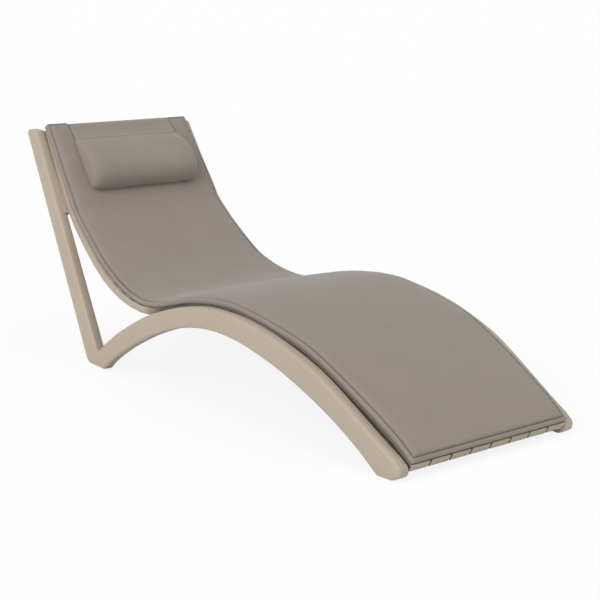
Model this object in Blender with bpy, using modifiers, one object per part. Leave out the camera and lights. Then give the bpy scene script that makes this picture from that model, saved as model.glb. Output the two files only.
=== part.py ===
"""Wave-shaped sun lounger with a pad and a head pillow, in metres, +Z up.

X runs across the lounger, +Y points to the head end and the floor is at z = 0.
Left and right are those of the person who lies on it, so left is +X.
"""

from math import atan2, ceil, cos, hypot, pi, sin

import bmesh
import bpy
import numpy as np
from mathutils import Matrix, Vector

# Overall sizes
LENGTH = 1.906
FRAME_HEIGHT = 0.7235
MID_WIDTH = 0.7112
# Outer half width along the lounger: shares of half its length, and of half its middle width
PLAN_SHARES = ((-1.0, 0.904), (-0.5, 0.976), (0.0, 1.000), (0.5, 0.966), (1.0, 0.852))

# Fits
PLAY = 0.0003
OVERRUN = 0.001
SOFT_PLAY = 0.0005
WELD = 0.00001

# Seat line: the top of the slats, as shares of half the length and of the frame height
SEAT_LINE_SHARES = (
    (-0.996, 0.055), (-0.913, 0.132), (-0.755, 0.247), (-0.606, 0.339), (-0.490, 0.382),
    (-0.333, 0.420), (-0.227, 0.431), (-0.118, 0.420), (-0.011, 0.397), (0.136, 0.347),
    (0.234, 0.331), (0.343, 0.346), (0.444, 0.387), (0.527, 0.445), (0.623, 0.536),
)
BACK_LINE_SHARES = ((0.711, 0.633), (0.917, 1.007))
BACK_STEP_SHARES = (0.0, 0.15, 0.4, 0.7, 1.0)
SEAT_STEP = 0.062

# Side frames: one moulded leg and arch on each side
FRAME_THICKNESS = 0.034
OUTER_EDGE = 0.008
INNER_EDGE = 0.004
TOP_RADIUS = 0.013
FORK_RADIUS = 0.009
TOE_RADIUS = 0.013
SOLE_RADIUS = 0.030
INSTEP_RADIUS = 0.014
HEEL_SHARES = (0.559, 0.0)
TOP_REAR_SHARES = (1.011, 1.0)
TOP_FRONT_SHARES = (0.928, 1.0)
FORK_SHARES = (0.490, 0.066)
ARCH_TOP_SHARES = (
    (0.439, 0.114), (0.383, 0.161), (0.341, 0.195), (0.300, 0.223), (0.260, 0.250),
    (0.222, 0.275), (0.185, 0.299), (0.148, 0.319), (0.077, 0.352), (-0.009, 0.387),
    (-0.091, 0.410), (-0.167, 0.424), (-0.242, 0.427), (-0.315, 0.423), (-0.388, 0.410),
    (-0.473, 0.387), (-0.557, 0.355), (-0.651, 0.311), (-0.737, 0.253), (-0.847, 0.168),
    (-0.929, 0.105), (-0.965, 0.079),
)
TOE_SHARES = ((-0.992, 0.052), (-0.992, 0.021))
FRONT_SOLE_SHARES = ((-0.963, 0.0), (-0.908, 0.0))
ARCH_UNDERSIDE_SHARES = (
    (-0.843, 0.063), (-0.748, 0.139), (-0.642, 0.206), (-0.536, 0.261), (-0.431, 0.301),
    (-0.326, 0.330), (-0.220, 0.341), (-0.126, 0.333), (-0.033, 0.309), (0.048, 0.275),
    (0.124, 0.237), (0.196, 0.194), (0.274, 0.143), (0.353, 0.084), (0.411, 0.035),
)
INSTEP_SHARES = (0.445, 0.0)

# Seat slats
SLAT_COUNT = 8
SLAT_THICKNESS = 0.022
SLAT_GAP = 0.005
SLAT_SIDE_GAP = 0.003

# Cross bearers under the slats, placed along the seat line
BEARER_NAMES = ("foot", "shin", "knee", "thigh", "seat", "back", "head")
BEARER_SHARES = (0.046, 0.160, 0.292, 0.430, 0.520, 0.866, 0.950)
SCREWED_BEARERS = ("foot", "head")
BEARER_WIDTH = 0.040
BEARER_DEPTH = 0.026
BEARER_LANDING = 0.003
RIB_HEIGHT = 0.004
TONGUE_LENGTH = 0.012
TONGUE_DEPTH = 0.016
END_PLATE_THICKNESS = 0.006
END_PLATE_REACH = 0.028
END_PLATE_LIP = 0.002
BOSS_DEPTH = 0.036
BOSS_PROUD = 0.005
BOSS_ROOT = 0.018
BOSS_MARGIN = 0.002
WEB_BEARER = "back"
WEB_STEP = 0.001

# Screws
SCREW_RADIUS = 0.0022
SCREW_HEAD_RADIUS = 0.0045
SCREW_HEAD_HEIGHT = 0.003
SCREW_TIP = 0.003
END_SCREW_BITE = 0.016
SLAT_SCREW_BITE = 0.014
SCREW_SIDES = 10

# Foot glides
GLIDE_RADIUS = 0.009
GLIDE_THICKNESS = 0.004
GLIDE_PROUD = 0.0015
GLIDE_STEM_RADIUS = 0.0035
GLIDE_STEM_LENGTH = 0.012
GLIDE_SIDES = 20

# Pad
PAD_SIDE_INSET = 0.001
PAD_END_INSET = 0.004
PAD_CORNER_RADIUS = 0.008
PAD_BELLY_HEIGHT = 0.009
PAD_BAND_INSET = 0.0045
PAD_BAND_HEIGHT = 0.018
PAD_LIP_INSET = 0.010
PAD_LIP_HEIGHT = 0.0195
PAD_SEAM_INSET = 0.0135
PAD_SEAM_HEIGHT = 0.0145
PAD_SHOULDER_INSET = 0.020
PAD_SHOULDER_HEIGHT = 0.0215
PAD_CROWN_INSET = 0.058
PAD_CROWN_HEIGHT = 0.0250
PAD_MIDDLE_HEIGHT = 0.0265
PAD_BASE_INSET = 0.004

# Band that holds the pad at the head end
HOLD_BAND_HALF_WIDTH = 0.235
HOLD_BAND_THICKNESS = 0.002
HOLD_BAND_RISE = 0.017
HOLD_BAND_TAIL = 0.062

# Head pillow on its flap
PILLOW_HALF_WIDTH = 0.206
PILLOW_HEIGHT = 0.209
PILLOW_DEPTH = 0.070
PILLOW_TOP_TO_HEAD = 0.056
PILLOW_WIDTH_SHARES = (-1.0, -0.988, -0.955, -0.88, -0.60, 0.0, 0.60, 0.88, 0.955, 0.988, 1.0)
PILLOW_SIZE_SHARES = (0.80, 0.90, 0.960, 0.988, 1.0, 1.0, 1.0, 0.988, 0.960, 0.90, 0.80)
# The pillow in side view, from the flap's seam to its lower edge: shares of half its height and of its depth
PILLOW_PROFILE_SHARES = (
    (1.0, 0.0), (0.965, 0.12), (0.82, 0.29), (0.62, 0.47), (0.36, 0.71), (0.08, 0.89),
    (-0.18, 0.98), (-0.42, 1.0), (-0.64, 0.93), (-0.82, 0.76), (-0.94, 0.50), (-0.995, 0.22), (-0.975, 0.0),
)
FLAP_HALF_WIDTH = 0.199
FLAP_THICKNESS = 0.0025
FLAP_FOLD = 0.020
FLAP_DROP = 0.130
COUNTERWEIGHT_HEIGHT = 0.045
COUNTERWEIGHT_THICKNESS = 0.020
COUNTERWEIGHT_EDGE = 0.008

FRAME_RESIN = (0.475, 0.402, 0.314)
PAD_FABRIC = (0.305, 0.270, 0.235)
DARK_WEBBING = (0.055, 0.050, 0.048)
GLIDE_RUBBER = (0.190, 0.175, 0.155)
SCREW_STEEL = (0.560, 0.560, 0.550)


def clear_scene():
    for obj in list(bpy.data.objects):
        bpy.data.objects.remove(obj, do_unlink=True)


def collection(name):
    found = bpy.data.collections.new(name)
    bpy.context.scene.collection.children.link(found)
    return found


def material(name, colour, roughness, metallic=0.0):
    made = bpy.data.materials.new(name)
    made.use_nodes = True
    shader = made.node_tree.nodes["Principled BSDF"]
    shader.inputs["Base Color"].default_value = (*colour, 1.0)
    shader.inputs["Roughness"].default_value = roughness
    shader.inputs["Metallic"].default_value = metallic
    return made


def add_piece(name, mesh, colour, roughness, metallic=0.0):
    if not mesh.materials:
        mesh.materials.append(material(name, colour, roughness, metallic))
    obj = bpy.data.objects.new(name, mesh)
    PIECES.objects.link(obj)
    return obj


def add_cutter(name, mesh):
    obj = bpy.data.objects.new(name, mesh)
    obj.hide_render = True
    obj.display_type = "WIRE"
    CUTTERS.objects.link(obj)
    return obj


def boolean(obj, tool, operation):
    modifier = obj.modifiers.new(tool.name, "BOOLEAN")
    modifier.operation = operation
    modifier.solver = "EXACT"
    modifier.object = tool


def baked(obj):
    """The object's evaluated mesh, with its modifiers applied."""
    graph = bpy.context.evaluated_depsgraph_get()
    return bpy.data.meshes.new_from_object(obj.evaluated_get(graph))


def smooth_line(points, steps):
    """A Catmull-Rom line through the points, with so many steps between two of them."""
    rows = np.array(points)
    padded = np.vstack([2 * rows[0] - rows[1], rows, 2 * rows[-1] - rows[-2]])
    line = []
    for before, start, end, after in zip(padded, padded[1:], padded[2:], padded[3:]):
        for step in range(steps):
            t = step / steps
            line.append(0.5 * (2 * start + (end - before) * t
                               + (2 * before - 5 * start + 4 * end - after) * t * t
                               + (3 * start - before - 3 * end + after) * t ** 3))
    return np.array(line + [rows[-1]])


def placed(shares):
    """A point of the side view, from its shares of half the length and of the frame height."""
    return np.array([shares[0] * LENGTH / 2, shares[1] * FRAME_HEIGHT])


def half_width(y):
    """Outer half width of the lounger at a place along it: its sides are bowed in plan."""
    return MID_WIDTH / 2 * np.interp(2 * y / LENGTH, PLAN_LINE[:, 0], PLAN_LINE[:, 1])


def frame_inside(y):
    return half_width(y) - FRAME_THICKNESS


def panel_half_width(y):
    return frame_inside(y) - SLAT_SIDE_GAP


def plate_span():
    """An end plate's ends along the slats, from the bearer's middle."""
    return -BEARER_WIDTH / 2 - END_PLATE_LIP, BEARER_WIDTH / 2 + END_PLATE_REACH


def seat_places():
    """Distances along the seat line at which the slats bend, none of them over a bearer."""
    low, high = (placed(shares) for shares in BACK_LINE_SHARES)
    back = [low + (high - low) * share for share in BACK_STEP_SHARES]
    line = smooth_line([placed(shares) for shares in SEAT_LINE_SHARES] + back, 12)
    steps = np.hypot(*np.diff(line, axis=0).T)
    along = np.concatenate([[0.0], np.cumsum(steps)])
    fixed = [0.0, along[-1]]
    for share in BEARER_SHARES:
        fixed += [share * along[-1] + end + sign * BEARER_LANDING for end, sign in zip(plate_span(), (-1, 1))]
    fixed.sort()
    places = []
    for number, (start, end) in enumerate(zip(fixed, fixed[1:])):
        count = 1 if number % 2 else max(1, ceil((end - start) / SEAT_STEP))
        places += [start + (end - start) * step / count for step in range(count)]
    places.append(fixed[-1])
    points = np.column_stack([np.interp(places, along, line[:, 0]), np.interp(places, along, line[:, 1])])
    return np.array(places), points


def edge_normals(points):
    """Unit normals of a line's straight stretches, to its left."""
    steps = np.diff(points, axis=0)
    steps /= np.hypot(*steps.T)[:, None]
    return np.column_stack([-steps[:, 1], steps[:, 0]])


def mitred(points):
    """Normals at a line's points, long enough to keep an offset line's thickness even."""
    edges = edge_normals(points)
    sums = np.vstack([edges[:1] * 2, edges[:-1] + edges[1:], edges[-1:] * 2])
    return sums * 2 / (sums ** 2).sum(axis=1)[:, None]


def on_seat(place, height):
    """The side-view point at a place along the seat line, at a height over the slats."""
    line = SEAT_POINTS + SEAT_NORMALS * height
    return np.array([np.interp(place, SEAT_PLACES, line[:, 0]), np.interp(place, SEAT_PLACES, line[:, 1])])


def seat_frame(place):
    """A matrix whose X is the lounger's, Y runs along the slats and Z stands up from them."""
    centre = on_seat(place, 0.0)
    ahead = on_seat(place + WELD, 0.0) - on_seat(place - WELD, 0.0)
    turn = Matrix.Rotation(atan2(ahead[1], ahead[0]), 4, "X")
    return Matrix.Translation((0.0, centre[0], centre[1])) @ turn


def grown_box(bm, low, high, matrix):
    """Add a box between two corners given in the matrix's frame."""
    middle = (Vector(low) + Vector(high)) / 2
    size = Vector(high) - Vector(low)
    bmesh.ops.create_cube(bm, size=1, matrix=matrix @ Matrix.Translation(middle) @ Matrix.Diagonal((*size, 1)))


def grown_cylinder(bm, radius, low, high, matrix, sides):
    """Add a cylinder along the matrix's Z, between two heights."""
    bmesh.ops.create_cone(bm, cap_ends=True, segments=sides, radius1=radius, radius2=radius,
                          depth=high - low, matrix=matrix @ Matrix.Translation((0, 0, (low + high) / 2)))


def mesh_from(bm, name):
    mesh = bpy.data.meshes.new(name)
    bm.to_mesh(mesh)
    bm.free()
    return mesh


def outline_mesh(name, outline, thickness):
    """A flat outline in XY, filled and thickened along Z."""
    curve = bpy.data.curves.new(name, "CURVE")
    curve.dimensions = "2D"
    curve.fill_mode = "BOTH"
    curve.extrude = thickness / 2
    spline = curve.splines.new("POLY")
    spline.points.add(len(outline) - 1)
    for point, (x, y) in zip(spline.points, outline):
        point.co = (x, y, 0.0, 1.0)
    spline.use_cyclic_u = True
    guide = bpy.data.objects.new(name, curve)
    CUTTERS.objects.link(guide)
    mesh = baked(guide)
    bpy.data.objects.remove(guide)
    bm = bmesh.new()
    bm.from_mesh(mesh)
    bmesh.ops.remove_doubles(bm, verts=bm.verts, dist=WELD)
    bmesh.ops.dissolve_limit(bm, angle_limit=0.001, verts=bm.verts, edges=bm.edges)
    bmesh.ops.recalc_face_normals(bm, faces=bm.faces)
    bm.to_mesh(mesh)
    bm.free()
    return mesh


def rounded(corners, steps=4):
    """Replace each corner that has a radius by an arc: corners are (point, radius)."""
    outline = []
    for number, (corner, radius) in enumerate(corners):
        before = np.array(corners[number - 1][0]) - corner
        after = np.array(corners[(number + 1) % len(corners)][0]) - corner
        before, after = before / hypot(*before), after / hypot(*after)
        if radius == 0.0:
            outline.append(corner)
            continue
        half = np.arccos(np.clip(before @ after, -1.0, 1.0)) / 2
        towards = (before + after) / hypot(*(before + after))
        centre = corner + towards * radius / sin(half)
        sweep = pi / 2 - half
        side = np.array([-towards[1], towards[0]])
        if side @ before < 0:
            side = -side
        for step in range(steps + 1):
            angle = sweep * (1 - 2 * step / steps)
            outline.append(centre + radius * (side * sin(angle) - towards * cos(angle)))
    return np.array(outline)


def thick_line(path, thickness):
    """The outline of a sheet of even thickness that follows a side-view path."""
    points = np.array(path)
    offset = mitred(points) * thickness / 2
    return np.vstack([points - offset, (points + offset)[::-1]])


def side_view_mesh(name, outline, thickness):
    """An outline given as (y, z) pairs, thickened along X."""
    mesh = outline_mesh(name, outline, thickness)
    mesh.transform(Matrix(((0, 0, 1, 0), (1, 0, 0, 0), (0, 1, 0, 0), (0, 0, 0, 1))))
    return mesh


def lofted(name, rings):
    """Close a row of like rings of points with side faces and two end faces."""
    bm = bmesh.new()
    loops = [[bm.verts.new(point) for point in ring] for ring in rings]
    for ring, following in zip(loops, loops[1:]):
        for number in range(len(ring)):
            corner = (number + 1) % len(ring)
            bm.faces.new((ring[number], ring[corner], following[corner], following[number]))
    bm.faces.new(loops[0][::-1])
    bm.faces.new(loops[-1])
    bmesh.ops.recalc_face_normals(bm, faces=bm.faces)
    return mesh_from(bm, name)


def turned(name, profile, sides):
    """A profile of (radius, height) pairs, from top to bottom, turned about Z."""
    mesh = bpy.data.meshes.new(name)
    bm = bmesh.new()
    verts = [bm.verts.new((radius, 0.0, height)) for radius, height in profile]
    for start, end in zip(verts, verts[1:]):
        bm.edges.new((start, end))
    bm.to_mesh(mesh)
    bm.free()
    guide = bpy.data.objects.new(name, mesh)
    CUTTERS.objects.link(guide)
    screw = guide.modifiers.new("turn", "SCREW")
    screw.steps = screw.render_steps = sides
    screw.use_merge_vertices = True
    screw.merge_threshold = WELD
    solid = baked(guide)
    bpy.data.objects.remove(guide)
    return solid


def smooth_shaded(mesh, sharp_angle=0.7):
    mesh.shade_smooth()
    mesh.set_sharp_from_angle(angle=sharp_angle)
    return mesh


# Side frames
def frame_outline():
    """The leg and arch in side view: up the leg's rear, down its front and round the arch."""
    fork, toe_top = placed(FORK_SHARES), placed(TOE_SHARES[0])
    top_points = [placed(shares) for shares in ARCH_TOP_SHARES]
    arch_top = smooth_line([fork] + top_points + [toe_top], 2)[2:-2]
    sole_end, instep = placed(FRONT_SOLE_SHARES[1]), placed(INSTEP_SHARES)
    under_points = [placed(shares) for shares in ARCH_UNDERSIDE_SHARES]
    underside = smooth_line([sole_end] + under_points + [instep], 2)[2:-2]
    corners = [(placed(HEEL_SHARES), SOLE_RADIUS), (placed(TOP_REAR_SHARES), TOP_RADIUS),
               (placed(TOP_FRONT_SHARES), TOP_RADIUS), (fork, FORK_RADIUS)]
    corners += [(point, 0.0) for point in arch_top]
    corners += [(toe_top, TOE_RADIUS), (placed(TOE_SHARES[1]), TOE_RADIUS)]
    corners += [(placed(FRONT_SOLE_SHARES[0]), SOLE_RADIUS), (sole_end, INSTEP_RADIUS)]
    corners += [(point, 0.0) for point in underside]
    corners += [(instep, INSTEP_RADIUS)]
    outline = rounded(corners)
    outline[:, 1] = GLIDE_PROUD + outline[:, 1] * (FRAME_HEIGHT - GLIDE_PROUD) / FRAME_HEIGHT
    return outline


def rounded_edges(bm, x, radius, segments):
    edges = [edge for edge in bm.edges
             if len(edge.link_faces) == 2 and all(abs(vert.co.x - x) < WELD for vert in edge.verts)
             and edge.calc_face_angle() > pi / 4]
    bmesh.ops.bevel(bm, geom=edges, offset=radius, offset_type="OFFSET", segments=segments,
                    profile=0.5, affect="EDGES", clamp_overlap=False, material=-1)


def bearer_place(number):
    return BEARER_SHARES[number] * SEAT_PLACES[-1]


def boss_face(number):
    """The X of the flat face on a side frame that a bearer's end plate lies against."""
    span = [bearer_place(number) + end + sign * BOSS_MARGIN for end, sign in zip(plate_span(), (-1, 1))]
    return min(frame_inside(on_seat(place, -SLAT_THICKNESS)[0]) for place in span) - BOSS_PROUD


def bearer_top():
    return -SLAT_THICKNESS - PLAY


def end_screw_spot():
    """An end screw's place along the slats and its height, in the bearer's frame."""
    return BEARER_WIDTH / 2 + END_PLATE_REACH / 2, bearer_top() - BOSS_DEPTH / 2


def tongue_span():
    """The heights of a bearer's tongue, in the bearer's frame."""
    middle = bearer_top() - BEARER_DEPTH / 2
    return middle - TONGUE_DEPTH / 2, middle + TONGUE_DEPTH / 2


def facing(side):
    """Turns Z to point inwards from a side frame."""
    return Matrix.Rotation(-side * pi / 2, 4, "Y")


def frame_bosses():
    bm = bmesh.new()
    for number in range(len(BEARER_SHARES)):
        start, end = plate_span()
        face = boss_face(number)
        low = (face, start - BOSS_MARGIN, bearer_top() - BOSS_DEPTH)
        high = (face + BOSS_ROOT, end + BOSS_MARGIN, bearer_top())
        grown_box(bm, low, high, seat_frame(bearer_place(number)))
    return add_cutter("frame_bosses", mesh_from(bm, "frame_bosses"))


def frame_web():
    """A web on the leg's inside that fills the gap beside the slats, between the last two bearers' bosses."""
    number = BEARER_NAMES.index(WEB_BEARER)
    start = bearer_place(number) + plate_span()[1] + BOSS_MARGIN - WEB_STEP / 4
    end = bearer_place(number + 1) + plate_span()[0] - BOSS_MARGIN + WEB_STEP / 4
    face = min(frame_inside(on_seat(place, -SLAT_THICKNESS)[0]) for place in (start, end)) - BOSS_PROUD + WEB_STEP
    low = (face, (start - end) / 2, bearer_top() - BOSS_DEPTH + WEB_STEP)
    high = (face + BOSS_ROOT, (end - start) / 2, bearer_top() - WEB_STEP)
    bm = bmesh.new()
    grown_box(bm, low, high, seat_frame((start + end) / 2))
    return add_cutter("frame_web", mesh_from(bm, "frame_web"))


def frame_sockets():
    bm = bmesh.new()
    low_height, high_height = tongue_span()
    along, height = end_screw_spot()
    for number in range(len(BEARER_SHARES)):
        face, matrix = boss_face(number), seat_frame(bearer_place(number))
        low = (face - OVERRUN, -BEARER_WIDTH / 2 - PLAY, low_height - PLAY)
        high = (face + TONGUE_LENGTH + PLAY, BEARER_WIDTH / 2 + PLAY, high_height + PLAY)
        grown_box(bm, low, high, matrix)
        hole = matrix @ Matrix.Translation((face, along, height)) @ facing(-1)
        grown_cylinder(bm, SCREW_RADIUS + PLAY, -OVERRUN, END_SCREW_BITE + OVERRUN, hole, SCREW_SIDES)
    for place in glide_places():
        matrix = Matrix.Translation((*place, 0.0))
        disc_top = GLIDE_THICKNESS + PLAY
        grown_cylinder(bm, GLIDE_RADIUS + PLAY, -OVERRUN, disc_top, matrix, GLIDE_SIDES)
    return add_cutter("frame_sockets", mesh_from(bm, "frame_sockets"))


def stem_holes():
    bm = bmesh.new()
    for place in glide_places():
        matrix = Matrix.Translation((*place, 0.0))
        top = GLIDE_THICKNESS + GLIDE_STEM_LENGTH + PLAY
        grown_cylinder(bm, GLIDE_STEM_RADIUS + PLAY, GLIDE_THICKNESS - OVERRUN, top, matrix, GLIDE_SIDES)
    return add_cutter("stem_holes", mesh_from(bm, "stem_holes"))


def glide_places():
    """The X and Y of a side frame's two glides, in the middle of each sole's flat."""
    rows = []
    for shares, other in (FRONT_SOLE_SHARES, (INSTEP_SHARES, HEEL_SHARES)):
        y = (placed(shares)[0] + placed(other)[0]) / 2
        rows.append((half_width(y) - (FRAME_THICKNESS + OUTER_EDGE - INNER_EDGE) / 2, y))
    return rows


def build_side_frames():
    mesh = side_view_mesh("side_frame_left", frame_outline(), FRAME_THICKNESS)
    bm = bmesh.new()
    bm.from_mesh(mesh)
    rounded_edges(bm, FRAME_THICKNESS / 2, OUTER_EDGE, 4)
    rounded_edges(bm, -FRAME_THICKNESS / 2, INNER_EDGE, 2)
    bmesh.ops.triangulate(bm, faces=bm.faces)
    for vert in bm.verts:
        vert.co.x += half_width(vert.co.y) - FRAME_THICKNESS / 2
    bm.to_mesh(mesh)
    bm.free()
    guide = add_cutter("frame_blank", mesh)
    boolean(guide, frame_bosses(), "UNION")
    boolean(guide, frame_web(), "UNION")
    boolean(guide, frame_sockets(), "DIFFERENCE")
    boolean(guide, stem_holes(), "DIFFERENCE")
    left = smooth_shaded(baked(guide))
    right = left.copy()
    right.transform(Matrix.Scale(-1, 4, (1, 0, 0)))
    right.flip_normals()
    bpy.data.objects.remove(guide)
    add_piece("side_frame_left", left, FRAME_RESIN, 0.55)
    add_piece("side_frame_right", right, FRAME_RESIN, 0.55)


# Seat slats
def slat_sides(number, y):
    """The X of a slat's two sides at a place along the lounger."""
    panel = panel_half_width(y)
    pitch = (2 * panel + SLAT_GAP) / SLAT_COUNT
    return -panel + number * pitch, -panel + (number + 1) * pitch - SLAT_GAP


def slat_middle(number, y):
    return sum(slat_sides(number, y)) / 2


def slat_screw_spots(number):
    """The frames of a slat's two screws, on the slat's middle line."""
    for bearer, name in enumerate(BEARER_NAMES):
        if name in SCREWED_BEARERS:
            matrix = seat_frame(bearer_place(bearer))
            yield name, matrix @ Matrix.Translation((slat_middle(number, matrix.translation.y), 0, 0))


def build_slats():
    last = len(SEAT_PLACES) - 1
    for number in range(SLAT_COUNT):
        name = "seat_slat_%d" % (number + 1)
        bm = bmesh.new()
        bmesh.ops.create_grid(bm, x_segments=1, y_segments=last, size=1)
        for vert in bm.verts:
            y, z = SEAT_POINTS[round((vert.co.y + 1) / 2 * last)]
            vert.co = (slat_sides(number, y)[round((vert.co.x + 1) / 2)], y, z)
        slat = add_piece(name, mesh_from(bm, name), FRAME_RESIN, 0.55)
        shell = slat.modifiers.new("thickness", "SOLIDIFY")
        shell.thickness = SLAT_THICKNESS
        shell.offset = -1
        shell.use_even_offset = True
        holes = bmesh.new()
        for _, matrix in slat_screw_spots(number):
            grown_cylinder(holes, SCREW_RADIUS + PLAY, -SLAT_THICKNESS - OVERRUN,
                           SLAT_SCREW_BITE + PLAY - SLAT_THICKNESS, matrix, SCREW_SIDES)
        boolean(slat, add_cutter(name + "_holes", mesh_from(holes, name + "_holes")), "DIFFERENCE")


# Cross bearers
def bearer_outline(number, face):
    """A bearer seen along the slats: a beam with a rib in each gap and a tongue at each end."""
    top, reach = bearer_top(), face - PLAY - END_PLATE_THICKNESS / 2
    y = on_seat(bearer_place(number), 0.0)[0]
    low_height, high_height = tongue_span()
    upper = []
    for slat in range(SLAT_COUNT - 1):
        left, right = slat_sides(slat, y)[1] + PLAY, slat_sides(slat + 1, y)[0] - PLAY
        left, right = left + rib_slack(number, slat), right - rib_slack(number, slat + 1)
        upper += [(left, top), (left, top + RIB_HEIGHT), (right, top + RIB_HEIGHT), (right, top)]
    tip = face - PLAY + TONGUE_LENGTH
    right_end = [(reach, top), (reach, high_height), (tip, high_height),
                 (tip, low_height), (reach, low_height), (reach, top - BEARER_DEPTH)]
    left_end = [(-x, height) for x, height in reversed(right_end)]
    return (upper + right_end + left_end)[::-1]


def rib_slack(number, slat):
    """How far a slat's side drifts across the width of a bearer, where the panel narrows."""
    ends = [on_seat(bearer_place(number) + sign * BEARER_WIDTH / 2, 0.0)[0] for sign in (-1, 1)]
    sides = [slat_sides(slat, y) for y in ends]
    return max(abs(sides[0][0] - sides[1][0]), abs(sides[0][1] - sides[1][1])) / 2


def build_bearers():
    for number, label in enumerate(BEARER_NAMES):
        name = label + "_bearer"
        face, matrix = boss_face(number), seat_frame(bearer_place(number))
        mesh = outline_mesh(name, bearer_outline(number, face), BEARER_WIDTH)
        mesh.transform(Matrix.Rotation(pi / 2, 4, "X"))
        bearer = add_piece(name, mesh, FRAME_RESIN, 0.55)
        bearer.matrix_world = matrix
        boolean(bearer, bearer_plates(name, face, matrix), "UNION")
        boolean(bearer, bearer_holes(name, label, face, matrix), "DIFFERENCE")


def bearer_plates(name, face, matrix):
    bm = bmesh.new()
    start, end = plate_span()
    for side in (-1, 1):
        ends = sorted((side * (face - PLAY), side * (face - PLAY - END_PLATE_THICKNESS)))
        low = (ends[0], start, bearer_top() - BOSS_DEPTH)
        grown_box(bm, low, (ends[1], end, bearer_top() - END_PLATE_LIP), matrix)
    return add_cutter(name + "_plates", mesh_from(bm, name + "_plates"))


def bearer_holes(name, label, face, matrix):
    bm = bmesh.new()
    along, height = end_screw_spot()
    for side in (-1, 1):
        spot = matrix @ Matrix.Translation((side * face, along, height)) @ facing(side)
        grown_cylinder(bm, SCREW_RADIUS + PLAY, -OVERRUN, END_PLATE_THICKNESS + OVERRUN + PLAY,
                       spot, SCREW_SIDES)
    for slat in range(SLAT_COUNT if label in SCREWED_BEARERS else 0):
        spot = dict(slat_screw_spots(slat))[label]
        grown_cylinder(bm, SCREW_RADIUS + PLAY, bearer_top() - BEARER_DEPTH - OVERRUN,
                       bearer_top() + OVERRUN, spot, SCREW_SIDES)
    return add_cutter(name + "_holes", mesh_from(bm, name + "_holes"))


# Screws
def screw_mesh(name, shank):
    profile = ((0.0, SCREW_HEAD_HEIGHT), (SCREW_HEAD_RADIUS - SCREW_HEAD_HEIGHT / 2, SCREW_HEAD_HEIGHT),
               (SCREW_HEAD_RADIUS, SCREW_HEAD_HEIGHT / 2), (SCREW_HEAD_RADIUS, 0.0), (SCREW_RADIUS, 0.0),
               (SCREW_RADIUS, SCREW_TIP - shank), (0.0, -shank))
    return smooth_shaded(turned(name, profile, SCREW_SIDES))


def build_end_screws():
    mesh = screw_mesh("end_screw", END_PLATE_THICKNESS + 2 * PLAY + END_SCREW_BITE)
    along, height = end_screw_spot()
    for number, label in enumerate(BEARER_NAMES):
        seat = boss_face(number) - END_PLATE_THICKNESS - 2 * PLAY
        for side, hand in ((1, "left"), (-1, "right")):
            screw = add_piece("%s_bearer_screw_%s" % (label, hand), mesh, SCREW_STEEL, 0.3, 1.0)
            spot = Matrix.Translation((side * seat, along, height)) @ facing(side)
            screw.matrix_world = seat_frame(bearer_place(number)) @ spot


def build_slat_screws():
    mesh = screw_mesh("slat_screw", BEARER_DEPTH + 2 * PLAY + SLAT_SCREW_BITE)
    drop = bearer_top() - BEARER_DEPTH - PLAY
    for number in range(SLAT_COUNT):
        for label, matrix in slat_screw_spots(number):
            screw = add_piece("slat_%d_%s_screw" % (number + 1, label), mesh, SCREW_STEEL, 0.3, 1.0)
            turn = Matrix.Rotation(pi, 4, "X")
            screw.matrix_world = matrix @ Matrix.Translation((0, 0, drop)) @ turn


# Foot glides
def build_glides():
    stem_top = GLIDE_THICKNESS + GLIDE_STEM_LENGTH
    profile = ((0.0, stem_top), (GLIDE_STEM_RADIUS, stem_top), (GLIDE_STEM_RADIUS, GLIDE_THICKNESS),
               (GLIDE_RADIUS, GLIDE_THICKNESS), (GLIDE_RADIUS, GLIDE_PROUD / 2),
               (GLIDE_RADIUS - GLIDE_PROUD / 2, 0.0), (0.0, 0.0))
    mesh = smooth_shaded(turned("glide", profile, GLIDE_SIDES))
    for (x, y), end in zip(glide_places(), ("front", "rear")):
        for side, hand in ((1, "left"), (-1, "right")):
            glide = add_piece("foot_glide_%s_%s" % (end, hand), mesh, GLIDE_RUBBER, 0.8)
            glide.location = (side * x, y, 0.0)


# Pad
def pad_section():
    """Insets and heights over the pad's edge, from its base to its middle."""
    return ((PAD_BASE_INSET, 0.0), (0.0, PAD_BELLY_HEIGHT), (PAD_BAND_INSET, PAD_BAND_HEIGHT),
            (PAD_LIP_INSET, PAD_LIP_HEIGHT), (PAD_SEAM_INSET, PAD_SEAM_HEIGHT),
            (PAD_SHOULDER_INSET, PAD_SHOULDER_HEIGHT), (PAD_CROWN_INSET, PAD_CROWN_HEIGHT))


def end_height(distance):
    """How high the pad stands at a distance from its end."""
    rows = pad_section()[1:] + ((2 * PAD_CROWN_INSET, PAD_MIDDLE_HEIGHT),)
    return np.interp(distance, [inset for inset, _ in rows], [height for _, height in rows])


def corner_inset(distance):
    """How far the rounded corner draws a side in, at a distance from the pad's end."""
    short = max(PAD_CORNER_RADIUS - distance, 0.0)
    return PAD_CORNER_RADIUS - (PAD_CORNER_RADIUS ** 2 - short ** 2) ** 0.5


def pad_top(distance):
    """How high the pad's middle stands over the slats, at a distance from the pad's end."""
    return SOFT_PLAY + min(PAD_MIDDLE_HEIGHT, end_height(distance) + PAD_MIDDLE_HEIGHT - PAD_CROWN_HEIGHT)


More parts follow.
